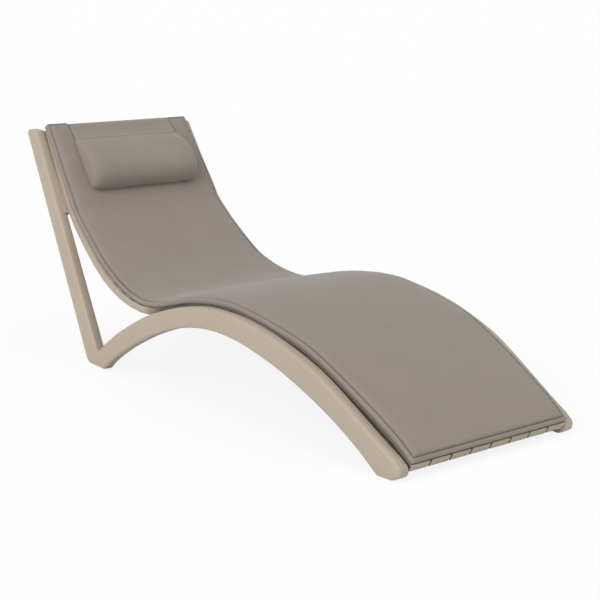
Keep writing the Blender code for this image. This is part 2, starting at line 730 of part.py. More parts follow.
def build_pad():
    start, end = PAD_END_INSET, SEAT_PLACES[-1] - PAD_END_INSET
    insets = [inset for inset, _ in pad_section()[1:]]
    bends = [place for place in SEAT_PLACES if start < place < end]
    ends = [start + inset for inset in insets] + [end - inset for inset in insets]
    rings = []
    for place in sorted(bends + [place for place in ends if min(abs(place - bend) for bend in bends) > OVERRUN]):
        distance = min(place - start, end - place)
        limit = end_height(distance)
        y = on_seat(place, 0.0)[0]
        side = panel_half_width(y) - PAD_SIDE_INSET - corner_inset(distance)
        points = [(side - inset, min(height, limit)) for inset, height in pad_section()]
        profile = points + [(0.0, pad_top(distance) - SOFT_PLAY)] + [(-x, height) for x, height in reversed(points)]
        rings.append([(x, *on_seat(place, SOFT_PLAY + height)) for x, height in profile])
    pad = add_piece("seat_pad", smooth_shaded(lofted("seat_pad", rings), 1.2), PAD_FABRIC, 0.9)
    return pad


# Head end: holding band, pillow, flap and counterweight
def head_point(along, height):
    """A side-view point past the slats' head end, along the back and over the slats."""
    tip, normal = SEAT_POINTS[-1], edge_normals(SEAT_POINTS)[-1]
    return tip + np.array([normal[1], -normal[0]]) * along + normal * height


def build_hold_band():
    half = HOLD_BAND_THICKNESS / 2
    past, behind = PLAY + half, -SLAT_THICKNESS - PLAY - half
    path = [head_point(past, HOLD_BAND_RISE), head_point(past, behind), head_point(-HOLD_BAND_TAIL, behind)]
    mesh = side_view_mesh("pad_holding_band", thick_line(path, HOLD_BAND_THICKNESS), 2 * HOLD_BAND_HALF_WIDTH)
    add_piece("pad_holding_band", mesh, DARK_WEBBING, 0.85)


def pillow_place():
    return SEAT_PLACES[-1] - PILLOW_TOP_TO_HEAD - PILLOW_HEIGHT / 2


def pillow_base():
    return PAD_MIDDLE_HEIGHT + 2 * SOFT_PLAY


def build_pillow():
    """A bolster that is flat on the pad, thin at the flap's seam, full below, and smaller at its rounded ends."""
    rings = []
    for width, size in zip(PILLOW_WIDTH_SHARES, PILLOW_SIZE_SHARES):
        rings.append([(width * PILLOW_HALF_WIDTH, along * size * PILLOW_HEIGHT / 2, up * size * PILLOW_DEPTH)
                      for along, up in PILLOW_PROFILE_SHARES])
    pillow = add_piece("head_pillow", smooth_shaded(lofted("head_pillow", rings), 1.2), PAD_FABRIC, 0.9)
    pillow.matrix_world = seat_frame(pillow_place()) @ Matrix.Translation((0, 0, pillow_base()))


def build_flap():
    """The flap that carries the pillow: up the pad, over the head end and down behind it."""
    half = FLAP_THICKNESS / 2
    past = 2 * PLAY + HOLD_BAND_THICKNESS + half
    turn = head_point(past, -SLAT_THICKNESS - HOLD_BAND_THICKNESS - FLAP_THICKNESS)
    start = PILLOW_TOP_TO_HEAD - PLAY - PAD_END_INSET
    front = [over_pad(distance) for distance in (start, FLAP_FOLD + PLAY)]
    edge = pad_top(PAD_BAND_INSET) + SOFT_PLAY + half
    top = [over_pad(distance) for distance in (FLAP_FOLD, PAD_LIP_INSET, PAD_BAND_INSET)]
    top += [head_point(past - FLAP_THICKNESS, edge - half), head_point(past, edge - FLAP_THICKNESS),
            turn, turn - (0, FLAP_THICKNESS)]
    rear = [turn - (0, FLAP_THICKNESS + PLAY), turn - (0, FLAP_DROP)]
    for name, path in (("pillow_flap_front", front), ("pillow_flap_top", top), ("pillow_flap_rear", rear)):
        mesh = side_view_mesh(name, thick_line(path, FLAP_THICKNESS), 2 * FLAP_HALF_WIDTH)
        add_piece(name, mesh, PAD_FABRIC, 0.9)
    build_counterweight(turn - (0, FLAP_DROP + PLAY))


def over_pad(distance):
    """The middle of the flap where it lies on the pad, at a distance from the pad's end."""
    return head_point(-PAD_END_INSET - distance, pad_top(distance) + SOFT_PLAY + FLAP_THICKNESS / 2)


def build_counterweight(hang):
    """A weighted tube sewn into the flap's hem, which hangs behind the backrest."""
    bm = bmesh.new()
    low = (-FLAP_HALF_WIDTH, -COUNTERWEIGHT_THICKNESS / 2, -COUNTERWEIGHT_HEIGHT)
    grown_box(bm, low, (FLAP_HALF_WIDTH, COUNTERWEIGHT_THICKNESS / 2, 0.0), Matrix.Identity(4))
    mesh = mesh_from(bm, "pillow_counterweight")
    weight = add_piece("pillow_counterweight", mesh, PAD_FABRIC, 0.9)
    weight.location = (0.0, hang[0], hang[1])
    edges = weight.modifiers.new("edges", "BEVEL")
    edges.width = COUNTERWEIGHT_EDGE
    edges.segments = 3


clear_scene()
PIECES = collection("sun_lounger")
CUTTERS = collection("cutters")
PLAN_LINE = smooth_line(PLAN_SHARES, 12)
SEAT_PLACES, SEAT_POINTS = seat_places()
SEAT_NORMALS = mitred(SEAT_POINTS)

build_side_frames()
build_slats()
build_bearers()
build_end_screws()
build_slat_screws()
build_glides()
build_pad()
build_hold_band()
build_pillow()
build_flap()
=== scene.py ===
"""Wave-shaped sun lounger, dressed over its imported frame: resin sides and slats, fabric pad, head pillow.

X runs across the lounger, +Y points to the head end, and the floor is at z = 0. All sizes are in metres.
"""

from math import pi, radians
import bmesh
import bpy
import numpy as np
from mathutils import Matrix, Vector


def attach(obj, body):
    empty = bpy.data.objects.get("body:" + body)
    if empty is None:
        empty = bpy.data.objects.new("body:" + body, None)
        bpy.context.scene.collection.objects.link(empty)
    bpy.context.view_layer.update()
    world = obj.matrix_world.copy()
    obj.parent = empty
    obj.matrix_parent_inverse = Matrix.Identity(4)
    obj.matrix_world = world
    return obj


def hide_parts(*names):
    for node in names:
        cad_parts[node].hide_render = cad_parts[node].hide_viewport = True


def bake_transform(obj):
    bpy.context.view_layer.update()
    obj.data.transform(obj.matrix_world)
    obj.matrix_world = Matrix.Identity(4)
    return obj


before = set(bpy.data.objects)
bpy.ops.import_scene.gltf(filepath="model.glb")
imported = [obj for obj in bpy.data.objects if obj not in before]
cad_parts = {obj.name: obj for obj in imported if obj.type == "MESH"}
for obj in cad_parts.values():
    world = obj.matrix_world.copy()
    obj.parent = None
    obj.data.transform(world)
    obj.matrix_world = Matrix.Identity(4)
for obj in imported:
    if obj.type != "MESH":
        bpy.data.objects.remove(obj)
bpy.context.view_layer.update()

# Side frames
# Each side is one moulding of matt beige resin, a long low arch with a leg that leans back from its rear foot.
# The mould leaves rounded outer edges and a fine grain, and bosses on the inside take the bearers' end plates.
RESIN_COLOUR = (0.391, 0.328, 0.253)
RESIN_ROUGHNESS = 0.50
RESIN_UNEVEN_GLOSS = 0.07
RESIN_SHADES = (0.955, 1.045)
RESIN_SPECKS = (0.975, 1.02)
RESIN_SPECK_SPAN = (0.35, 0.65)
RESIN_CLOUD_SCALE = 5.0
RESIN_SCUFF_SCALE = 38.0
RESIN_GRAIN = 0.0009
RESIN_GRAIN_DEPTH = 0.00010
RESIN_GRAIN_STRENGTH = 0.35
MERGE = 0.00002
# Faces of a CAD node that turn by less than this, in degrees, belong to one flat face
FLAT_DEGREES = 0.15
# Edges that turn by more than this, in radians, are sharp, on a moulded piece and on one of cloth
SHARP_TURN = 0.6
CLOTH_TURN = 3.1
ROUND_PROFILE = 0.5


def shader_of(material):
    return material.node_tree.nodes["Principled BSDF"]


def new_material(name, colour, roughness):
    made = bpy.data.materials.new(name)
    made.use_nodes = True
    shader_of(made).inputs["Base Color"].default_value = (*colour, 1.0)
    shader_of(made).inputs["Roughness"].default_value = roughness
    return made


def add_node(material, kind, inputs=(), links=(), **settings):
    """Add a shader node, set its sockets and feed them from other nodes' outputs."""
    node = material.node_tree.nodes.new(kind)
    for setting, value in settings.items():
        setattr(node, setting, value)
    for socket, value in dict(inputs).items():
        node.inputs[socket].default_value = value
    for socket, output in dict(links).items():
        material.node_tree.links.new(output, node.inputs[socket])
    return node


def shade_of(colour, share):
    return (*(min(1.0, channel * share) for channel in colour), 1.0)


def blend_colours(material, factor, low, high):
    """A colour that runs from low to high as the factor goes from 0 to 1."""
    mix = add_node(material, "ShaderNodeMix", {6: low, 7: high}, {0: factor}, data_type="RGBA")
    return mix.outputs[2]


def noise(material, place, scale, detail):
    """Soft random spots over a place."""
    spots = add_node(material, "ShaderNodeTexNoise", {"Scale": scale, "Detail": detail}, {"Vector": place})
    return spots.outputs["Fac"]


def ranged(material, value, low, high, start=0.0, end=1.0):
    """A value that runs from low to high as another one goes from start to end."""
    node = add_node(material, "ShaderNodeMapRange",
                    {"From Min": start, "From Max": end, "To Min": low, "To Max": high}, {"Value": value})
    return node.outputs[0]


def joined(material, operation, first, second):
    """Two values joined by an operation such as MULTIPLY or MAXIMUM."""
    return add_node(material, "ShaderNodeMath", {}, {0: first, 1: second}, operation=operation).outputs[0]


def dimmed(material, colour, factor):
    """A colour multiplied by a value."""
    node = add_node(material, "ShaderNodeVectorMath", {}, {0: colour, 1: factor}, operation="MULTIPLY")
    return node.outputs[0]


def feed(material, sources):
    """Feed the sockets of a material's shader from other nodes' outputs."""
    for socket, output in sources.items():
        material.node_tree.links.new(output, shader_of(material).inputs[socket])


def moulded_resin(name, colour, roughness=RESIN_ROUGHNESS):
    """Matt moulded resin: a fine grain from the mould, and slightly uneven colour and gloss."""
    made = new_material(name, colour, roughness)
    place = add_node(made, "ShaderNodeTexCoord").outputs["Object"]
    grain = noise(made, place, 1 / RESIN_GRAIN, 2.0)
    cloud = noise(made, place, RESIN_CLOUD_SCALE, 3.0)
    scuff = noise(made, place, RESIN_SCUFF_SCALE, 5.0)
    tone = blend_colours(made, cloud, *(shade_of(colour, share) for share in RESIN_SHADES))
    speck = ranged(made, grain, *RESIN_SPECKS, *RESIN_SPECK_SPAN)
    gloss = ranged(made, scuff, roughness - RESIN_UNEVEN_GLOSS, roughness + RESIN_UNEVEN_GLOSS)
    bump = add_node(made, "ShaderNodeBump", {"Strength": RESIN_GRAIN_STRENGTH, "Distance": RESIN_GRAIN_DEPTH},
                    {"Height": grain})
    feed(made, {"Base Color": dimmed(made, tone, speck), "Roughness": gloss, "Normal": bump.outputs[0]})
    return made


def finished(bm, name, material, body, replaced=(), sharp=SHARP_TURN):
    """Turn a bmesh into a piece that rides on a body, has its finish and stands for its CAD nodes."""
    mesh = bpy.data.meshes.new(name)
    bm.to_mesh(mesh)
    bm.free()
    mesh.shade_smooth()
    mesh.set_sharp_from_angle(angle=sharp)
    mesh.materials.append(material)
    piece = bpy.data.objects.new(name, mesh)
    bpy.context.scene.collection.objects.link(piece)
    if body:
        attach(piece, body)
    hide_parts(*replaced)
    return piece


def form_of(node, ease, segments=2):
    """The form of a CAD node, with its loose triangles merged and its sharp edges eased."""
    bm = bmesh.new()
    bm.from_mesh(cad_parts[node].data)
    bmesh.ops.remove_doubles(bm, verts=bm.verts, dist=MERGE)
    bmesh.ops.dissolve_limit(bm, angle_limit=radians(FLAT_DEGREES), verts=bm.verts, edges=bm.edges)
    if ease:
        edges = [edge for edge in bm.edges if len(edge.link_faces) == 2 and edge.calc_face_angle() > SHARP_TURN]
        bmesh.ops.bevel(bm, geom=edges, offset=ease, offset_type="OFFSET", segments=segments,
                        profile=ROUND_PROFILE, affect="EDGES", clamp_overlap=True, material=-1)
    return bm


frame_resin = moulded_resin("frame_resin", RESIN_COLOUR)
for side in ("left", "right"):
    node = "side_frame_" + side
    finished(form_of(node, 0), "moulded_side_" + side, frame_resin, "lounger", [node])

# Cross bearers
# Seven resin beams lie under the slats. Ribs on them keep the slats' gaps, and at each end a tongue enters
# the side frame's socket and a plate is screwed to its boss.
BEARER_NAMES = ("foot", "shin", "knee", "thigh", "seat", "back", "head")
BEARER_EASE = 0.0008
BEARER_ROUGHNESS = 0.55

bearer_resin = moulded_resin("bearer_resin", RESIN_COLOUR, BEARER_ROUGHNESS)
for name in BEARER_NAMES:
    node = name + "_bearer"
    finished(form_of(node, BEARER_EASE), node.replace("bearer", "beam"), bearer_resin, "lounger",
             [node])

# Seat slats
# Eight resin slats run the whole length side by side, bent to the wave, with a narrow gap between them.
# Their long edges are rounded, and two screws from below hold each one.
SLAT_COUNT = 8
SLAT_EASE = 0.0025
SLAT_ROUGHNESS = 0.52
# How dark the painted shade is on the sides where two slats face each other, and beside the side frame up to this
# place along y
GAP_SHADE = 0.16
BESIDE_ARCH = (0.12, 0.22)
# How far a face has to look sideways to be an outermost side, or a side between two slats
OUTER_FACING = 0.3
INNER_FACING = 0.8

slat_resin = moulded_resin("slat_resin", RESIN_COLOUR, SLAT_ROUGHNESS)
clean = shader_of(slat_resin).inputs["Base Color"].links[0].from_socket
between = add_node(slat_resin, "ShaderNodeAttribute", attribute_name="between_slats").outputs["Fac"]
beside = add_node(slat_resin, "ShaderNodeAttribute", attribute_name="beside_frame").outputs["Fac"]
place = add_node(slat_resin, "ShaderNodeTexCoord").outputs["Object"]
y_place = add_node(slat_resin, "ShaderNodeSeparateXYZ", {}, {0: place}).outputs["Y"]
# Painted shade in the narrow gaps: the sides between slats, and the outermost sides beside the arch, are darkened
frame_gap_shading = joined(slat_resin, "MULTIPLY", beside, ranged(slat_resin, y_place, 1.0, 0.0, *BESIDE_ARCH))
slat_gap_shading = joined(slat_resin, "MAXIMUM", between, frame_gap_shading)
feed(slat_resin, {"Base Color": dimmed(slat_resin, clean, ranged(slat_resin, slat_gap_shading, 1.0, GAP_SHADE))})
for number in range(1, SLAT_COUNT + 1):
    node = "seat_slat_%d" % number
    slat = finished(form_of(node, SLAT_EASE, 3), "slat_%d" % number, slat_resin, "lounger", [node])
    outwards = -1 if number == 1 else 1
    sides = [face.normal.x for face in slat.data.polygons]
    outer = [number in (1, SLAT_COUNT) and side * outwards > OUTER_FACING for side in sides]
    inner = [abs(side) > INNER_FACING and not is_outer for side, is_outer in zip(sides, outer)]
    for name, marks in (("between_slats", inner), ("beside_frame", outer)):
        slat.data.attributes.new(name, "FLOAT", "FACE").data.foreach_set("value", np.array(marks, np.float32))

# Screws
# Plain stainless pan heads fix the end plates to the bosses and the slats to the foot and head bearers.
SCREW_COLOUR = (0.560, 0.560, 0.550)
SCREW_ROUGHNESS = 0.34
SCREW_POLISH = (0.26, 0.44)
SCREW_BRUSH_SCALE = 900.0

screw_steel = new_material("screw_steel", SCREW_COLOUR, SCREW_ROUGHNESS)
shader_of(screw_steel).inputs["Metallic"].default_value = 1.0
brush = noise(screw_steel, add_node(screw_steel, "ShaderNodeTexCoord").outputs["Object"], SCREW_BRUSH_SCALE, 3.0)
feed(screw_steel, {"Roughness": ranged(screw_steel, brush, *SCREW_POLISH)})
for name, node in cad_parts.items():
    if name.endswith("_screw") or "_screw_" in name:
        node.data.materials.clear()
        node.data.materials.append(screw_steel)

# Foot glides
# A rubber button with a stem is set into each sole, and the lounger stands on the four of them.
GLIDE_COLOUR = (0.190, 0.175, 0.155)
GLIDE_ROUGHNESS = 0.75
GLIDE_EASE = 0.0006

glide_rubber = moulded_resin("glide_rubber", GLIDE_COLOUR, GLIDE_ROUGHNESS)
for end in ("front", "rear"):
    for side in ("left", "right"):
        node = "foot_glide_%s_%s" % (end, side)
        finished(form_of(node, GLIDE_EASE), "glide_%s_%s" % (end, side), glide_rubber, "lounger",
                 [node])

# Pad
# One long cushion of thin foam in a woven cover lies on the slats and follows their wave.
# A seam is sewn right round it, just inside the edge, so an outer band stands beside a narrow groove.
LENGTH = 1.906
FRAME_HEIGHT = 0.7235
MID_WIDTH = 0.7112
PLAN_SHARES = ((-1.0, 0.904), (-0.5, 0.976), (0.0, 1.000), (0.5, 0.966), (1.0, 0.852))
SEAT_LINE_SHARES = (
    (-0.996, 0.055), (-0.913, 0.132), (-0.755, 0.247), (-0.606, 0.339), (-0.490, 0.382),
    (-0.333, 0.420), (-0.227, 0.431), (-0.118, 0.420), (-0.011, 0.397), (0.136, 0.347),
    (0.234, 0.331), (0.343, 0.346), (0.444, 0.387), (0.527, 0.445), (0.623, 0.536),
)
BACK_LINE_SHARES = ((0.711, 0.633), (0.917, 1.007))
BACK_STEP_SHARES = (0.0, 0.15, 0.4, 0.7, 1.0)
FRAME_THICKNESS = 0.034
SLAT_SIDE_GAP = 0.003
PAD_COLOUR = (0.262, 0.230, 0.199)
THREAD_PITCH = 0.0019
CLOTH_ROUGHNESS = 0.86
CLOTH_FINISH = {"Sheen Weight": 0.22, "Sheen Roughness": 0.45, "Specular IOR Level": 0.25}
CLOTH_SHADES = (0.93, 1.07)
CLOTH_CLOUD_SCALE = 9.0
# Painted light and shade of the weave: how dark the cloth is between threads and how light it is on them
CLOTH_WEAVE_SHADING = (0.94, 1.04)
YARN_SCALE = 330.0
YARN_SLUBS = (0.93, 1.07)
YARN_SPAN = (0.3, 0.7)
WEAVE_DEPTH = 0.0003
WEAVE_STRENGTH = 0.22
# Nearer than this to a cushion's middle, its height counts for less and less in the unrolled coordinates
UNROLLED_OVER = 0.1
PAD_SIDE_INSET = 0.001
PAD_END_INSET = 0.004
PAD_LIFT = 0.0006
PAD_CORNER = 0.006
PAD_MIDDLE = 0.0262
PAD_CELL = 0.016
PAD_CROWN_REACH = 0.16
# Insets and heights over the pad's edge, from its base up the band, into the groove and onto the top
PAD_EDGE = (
    (0.0085, 0.0000), (0.0050, 0.0007), (0.0019, 0.0024), (0.0004, 0.0060), (0.0000, 0.0110),
    (0.0012, 0.0148), (0.0038, 0.0168), (0.0064, 0.0163), (0.0084, 0.0138), (0.0100, 0.0102),
    (0.0118, 0.0136), (0.0142, 0.0176), (0.0188, 0.0207), (0.0290, 0.0229), (0.0420, 0.0240), (0.0580, 0.0246),
)
PAD_SEAM = 9
SEAM_SHADE = 0.28
# By rows from the seam: how far its groove fills up where there is no fold, and how dark the painted shade in it
# is
GROOVE_FILL = {0: 0.0042, 1: 0.0016}
GROOVE_SHADE = {0: 0.95, 1: 0.45}
GROOVE_LEAST = 0.1
# By rows from the cover's lower edge, how dark the painted shade in the fold under its band is
TUCK_SHADE = {0: 1.0, 1: 0.9, 2: 0.4, 3: 0.1}
# The simulated filling: its pressure, how often it is evened out, and how far it may lift the cover
PAD_PRESSURE = 1.5
PAD_EVENED = 60
PAD_PUFF = 0.0025
PUFF_FRAMES = 20
# How deep the cover's folds are, below its band and in its groove: places along the seat and depths, as shares
PAD_FOLD_SHARES = (
    (0.0, 0.7), (0.35, 0.8), (0.50, 0.95), (0.64, 1.0), (0.69, 0.7), (0.74, 0.4), (0.80, 0.2), (1.0, 0.1),
)
PAD_TUCK = 4
# The cover is drawn in a little where the back rises: places along the seat as shares, and how far
PAD_DRAWN_IN = (
    (0.0, 0.0), (0.60, 0.0), (0.66, 0.007), (0.70, 0.0105), (0.74, 0.0075), (0.79, 0.007), (0.85, 0.002),
    (0.91, -0.0025), (1.0, -0.0035),
)
# The cover's corners at the head end are pockets beside the flap, which reach past the slats and down behind them:
# from where to where across they rise, insets without and with a pocket, and the share of it on the -X and +X side
POCKET_FROM = 0.1994
POCKET_FULL = 0.2030
POCKET_INSETS = (
    (0.0, -0.0125), (0.0100, -0.0078), (0.0188, 0.0010), (0.042, 0.0295), (0.080, 0.0750), (0.120, 0.1200),
)
POCKET_SHARES = (1.0, 0.7)
POCKET_DROP = 0.014
POCKET_DROP_OVER = 0.010


def smooth_line(points, steps):
    """A Catmull-Rom line through the points, with so many steps between two of them."""
    rows = np.array(points, float)
    padded = np.vstack([2 * rows[0] - rows[1], rows, 2 * rows[-1] - rows[-2]])
    line = []
    for before, start, end, after in zip(padded, padded[1:], padded[2:], padded[3:]):
        for step in range(steps):
            t = step / steps
            line.append(0.5 * (2 * start + (end - before) * t
                               + (2 * before - 5 * start + 4 * end - after) * t * t
                               + (3 * start - before - 3 * end + after) * t ** 3))
    return np.array(line + [rows[-1]])


plan_line = smooth_line(PLAN_SHARES, 12)
low, high = np.array(BACK_LINE_SHARES)
back_shares = [tuple(low + (high - low) * share) for share in BACK_STEP_SHARES]
seat_line = smooth_line(SEAT_LINE_SHARES + tuple(back_shares), 12) * (LENGTH / 2, FRAME_HEIGHT)
seat_along = np.concatenate([[0.0], np.cumsum(np.hypot(*np.diff(seat_line, axis=0).T))])
seat_ahead = np.gradient(seat_line, seat_along, axis=0)
seat_ahead /= np.hypot(*seat_ahead.T)[:, None]
seat_up = np.column_stack([-seat_ahead[:, 1], seat_ahead[:, 0]])
SEAT_LENGTH = seat_along[-1]


def on_seat(points):
    """Lay flat points, which are across, along and over the slats, onto the wave of the seat."""
    points = np.asarray(points, float).reshape(-1, 3)
    along = points[:, 1]
    reach = np.clip(along, 0.0, SEAT_LENGTH)
    laid = []
    for axis in (0, 1):
        laid.append(np.interp(reach, seat_along, seat_line[:, axis])
                    + (along - reach) * np.interp(reach, seat_along, seat_ahead[:, axis])
                    + points[:, 2] * np.interp(reach, seat_along, seat_up[:, axis]))
    return np.column_stack([points[:, 0], *laid])


def panel_side(along):
    """Half the width of the row of slats at a place along them."""
    y = np.interp(along, seat_along, seat_line[:, 0])
    outer = MID_WIDTH / 2 * np.interp(2 * y / LENGTH, plan_line[:, 0], plan_line[:, 1])
    return outer - FRAME_THICKNESS - SLAT_SIDE_GAP


def woven_cloth(name, colour, pitch):
    """Plain-woven outdoor cloth: threads cross in the piece's own flat coordinates, with uneven yarn, painted
    light and shade of the weave, and painted shade in creases.
    """
    made = new_material(name, colour, CLOTH_ROUGHNESS)
    for socket, value in CLOTH_FINISH.items():
        shader_of(made).inputs[socket].default_value = value
    place = add_node(made, "ShaderNodeAttribute", attribute_name="cloth").outputs["Vector"]
    waves = []
    for axis in range(2):
        way = add_node(made, "ShaderNodeVectorMath", {1: tuple(2 * pi / pitch * (axis == n) for n in range(3))},
                       {0: place}, operation="DOT_PRODUCT")
        waves.append(add_node(made, "ShaderNodeMath", {}, {0: way.outputs["Value"]}, operation="SINE").outputs[0])
    height = joined(made, "MULTIPLY", *waves)
    cloud = noise(made, place, CLOTH_CLOUD_SCALE, 4.0)
    # Painted light and shade of the weave: lighter where the threads rise, darker where they dip between each
    # other
    weave_shading = ranged(made, height, *CLOTH_WEAVE_SHADING, -1.0, 1.0)
    slub = ranged(made, noise(made, place, YARN_SCALE, 3.0), *YARN_SLUBS, *YARN_SPAN)
    # Painted shade in the pad's groove and in the fold under its band, read from a per-vertex attribute
    crease_shade = add_node(made, "ShaderNodeAttribute", attribute_name="crease_shade").outputs["Fac"]
    tone = blend_colours(made, cloud, *(shade_of(colour, share) for share in CLOTH_SHADES))
    for factor in (weave_shading, slub, ranged(made, crease_shade, 1.0, SEAM_SHADE)):
        tone = dimmed(made, tone, factor)
    bump = add_node(made, "ShaderNodeBump", {"Strength": WEAVE_STRENGTH, "Distance": WEAVE_DEPTH},
                    {"Height": height})
    feed(made, {"Base Color": tone, "Normal": bump.outputs[0]})
    return made


def eased(share):
    """A smooth step from 0 to 1."""
    share = min(1.0, max(0.0, share))
    return share * share * (3 - 2 * share)


def edge_rows(total, section, cell):
    """Insets and heights across a cushion: the edge's section on both sides and even steps between them."""
    last = section[-1][0]
    count = max(2, round((total - 2 * last) / cell))
    middle = [(last + (total - 2 * last) * step / count, None) for step in range(1, count)]
    return list(section) + middle + [(total - inset, height) for inset, height in reversed(section)]


def settled(mesh, moved, held, rounds):
    """Even out how far the loose vertices moved, so that no ripple of the simulation is left."""
    ends = np.array([edge.vertices[:] for edge in mesh.edges])
    places = np.array([vertex.co for vertex in mesh.vertices])
    pull = 1 / np.linalg.norm(places[ends[:, 0]] - places[ends[:, 1]], axis=1)
    pulls = np.bincount(ends.ravel(), weights=np.repeat(pull, 2), minlength=len(moved))[:, None]
    for _ in range(rounds):
        total = np.zeros_like(moved)
        np.add.at(total, ends[:, 0], pull[:, None] * moved[ends[:, 1]])
        np.add.at(total, ends[:, 1], pull[:, None] * moved[ends[:, 0]])
        moved = np.where(held[:, None] > 0, 0.0, (moved + total / pulls) / 2)
    return moved


def evaluated(piece):
    """A new mesh of a piece with its modifiers applied."""
    return bpy.data.meshes.new_from_object(piece.evaluated_get(bpy.context.evaluated_depsgraph_get()))


def puffed(piece, held, pressure, rise, rounds):
    """Blow a cover up against its seams with Cloth, and scale it so that the fullest point rises so far."""
    start = np.array([vertex.co for vertex in piece.data.vertices])
    group = piece.vertex_groups.new(name="sewn")
    for index, weight in enumerate(held):
        if weight > 0:
            group.add([index], float(weight), "REPLACE")
    cloth = piece.modifiers.new("cover", "CLOTH")
    settings = cloth.settings
    settings.quality = 5
    settings.mass = 0.3
    settings.tension_stiffness = settings.compression_stiffness = 15
    settings.shear_stiffness = 5
    settings.bending_stiffness = 0.8
    settings.use_pressure = True
    settings.uniform_pressure_force = pressure
    settings.vertex_group_mass = "sewn"
    settings.effector_weights.gravity = 0.0
    cloth.collision_settings.use_collision = False
    scene = bpy.context.scene
    cloth.point_cache.frame_start, cloth.point_cache.frame_end = 1, PUFF_FRAMES
    for number in range(1, PUFF_FRAMES + 1):
        scene.frame_set(number)
    moved = np.array([vertex.co for vertex in evaluated(piece).vertices]) - start
    piece.modifiers.clear()
    piece.vertex_groups.clear()
    scene.frame_set(1)
    moved = settled(piece.data, moved, held, rounds)
    fullest = np.linalg.norm(moved, axis=1).max()
    print(piece.name, "rose", round(float(fullest), 4), "before it was scaled")
    for vertex, place in zip(piece.data.vertices, start + moved * min(1.0, rise / fullest)):
        vertex.co = place


def subdivided(piece):
    """Apply one level of subdivision to a piece's mesh."""
    finer = piece.modifiers.new("finer", "SUBSURF")
    finer.levels = finer.render_levels = 1
    piece.data = evaluated(piece)
    piece.data.name = piece.name
    piece.modifiers.clear()


def keep_flat(piece):
    """Store a piece's coordinates unrolled to a flat cloth, for its weave, and return them as they are."""
    flat = np.array([vertex.co for vertex in piece.data.vertices])
    middle = (flat.min(axis=0) + flat.max(axis=0)) / 2
    height = flat[:, 2:] - flat[:, 2].min()
    unrolled = (flat - height * np.clip((flat - middle) / UNROLLED_OVER, -1, 1)) * (1, 1, 0)
    attribute = piece.data.attributes.new("cloth", "FLOAT_VECTOR", "POINT")
    attribute.data.foreach_set("vector", unrolled.astype(np.float32).ravel())
    return flat


def place_vertices(piece, places):
    piece.data.vertices.foreach_set("co", np.asarray(places, np.float32).ravel())
    piece.data.update()


pad_fabric = woven_cloth("pad_fabric", PAD_COLOUR, THREAD_PITCH)
pad_length = SEAT_LENGTH - 2 * PAD_END_INSET
wide = 2 * (panel_side(SEAT_LENGTH / 2) - PAD_SIDE_INSET)
columns = edge_rows(wide, PAD_EDGE, PAD_CELL)
head_side = panel_side(SEAT_LENGTH - PAD_END_INSET) - PAD_SIDE_INSET
inner = columns[len(PAD_EDGE):-len(PAD_EDGE)]
for place in (POCKET_FROM, POCKET_FULL):
    reach = place * (wide / 2 - PAD_EDGE[-1][0]) / (head_side - PAD_EDGE[-1][0])
    inner += [(wide / 2 - reach, None), (wide / 2 + reach, None)]
columns[len(PAD_EDGE):-len(PAD_EDGE)] = sorted(inner, key=lambda column: column[0])
rows = edge_rows(pad_length, PAD_EDGE, PAD_CELL)
pad_bm = bmesh.new()
crease_shade = pad_bm.verts.layers.float.new("crease_shade")
sewn = pad_bm.verts.layers.float.new("sewn")
